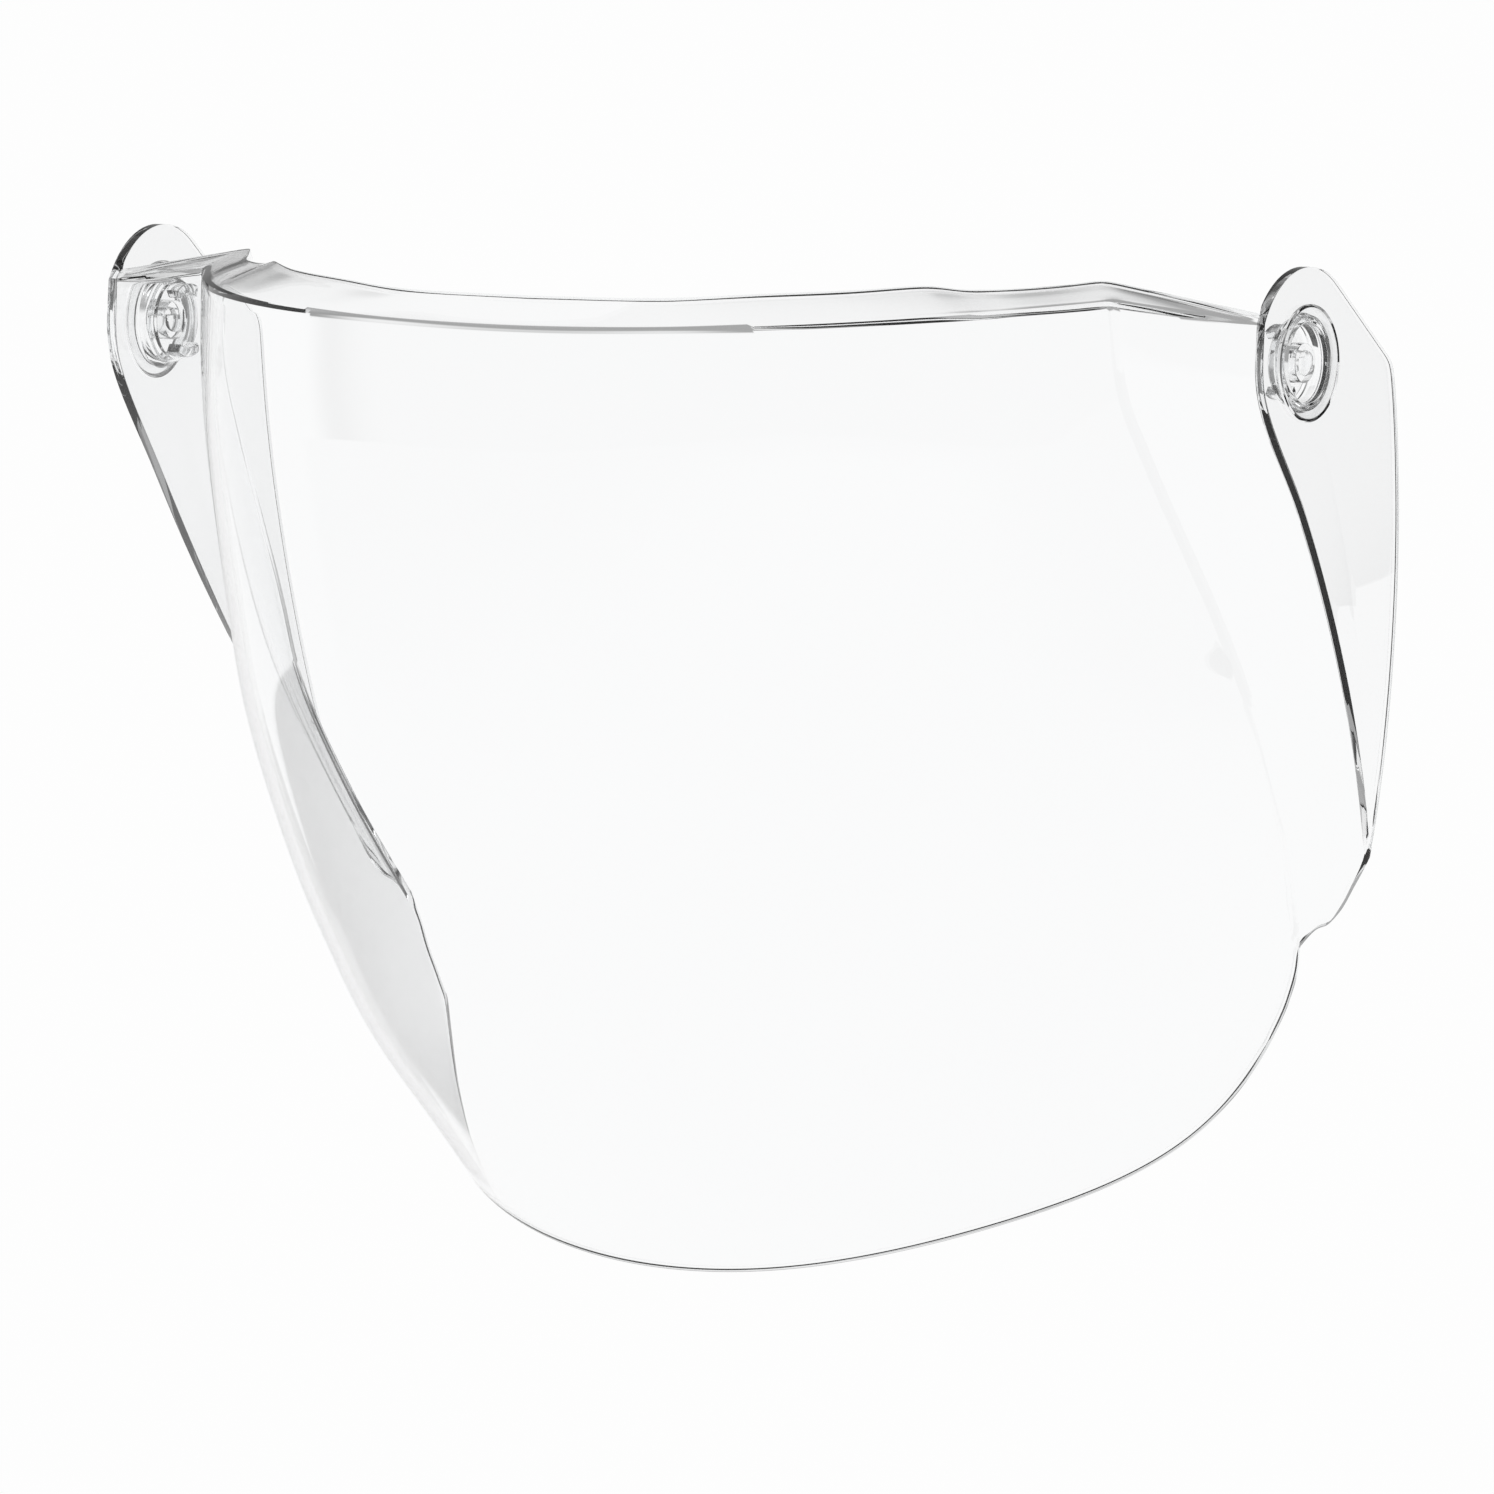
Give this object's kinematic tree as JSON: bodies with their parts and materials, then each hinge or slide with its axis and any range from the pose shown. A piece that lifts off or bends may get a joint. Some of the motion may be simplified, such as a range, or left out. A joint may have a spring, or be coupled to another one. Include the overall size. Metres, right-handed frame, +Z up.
{
  "type": "face shield",
  "caption": "Clear curved full-face safety visor with side wings and pivot ears; round pivot hubs snap to a helmet and let the visor swing up.",
  "frame": {"origin": "on the pivot axis, midway between the two ears", "axes": "+X along the pivot axis towards the left ear, -Y to the front of the visor, +Z up"},
  "size_m": [0.25, 0.1206, 0.1901],
  "materials": {
    "clear_polycarbonate": "polished clear",
    "clear_hub_plastic": "polished clear"
  },
  "bodies": {
    "hub_right": {"pivot_hub_right": "clear_hub_plastic"},
    "visor": {"shield": "clear_polycarbonate"},
    "hub_left": {"pivot_hub_left": "clear_hub_plastic"}
  },
  "joints": [
    {"name": "visor_swing", "type": "hinge", "parent": "hub_right", "child": "visor", "pos_m": [0, 0, 0], "axis": [-1, 0, 0], "range_deg": [0, 80]},
    {"name": "left_hub_turn", "type": "hinge", "parent": "visor", "child": "hub_left", "pos_m": [0.123, 0, 0], "axis": [-1, 0, 0], "range_deg": [-80, 0]}
  ],
  "couplings": [
    {"joint": "left_hub_turn", "follows": "visor_swing", "ratio": -1}
  ]
}
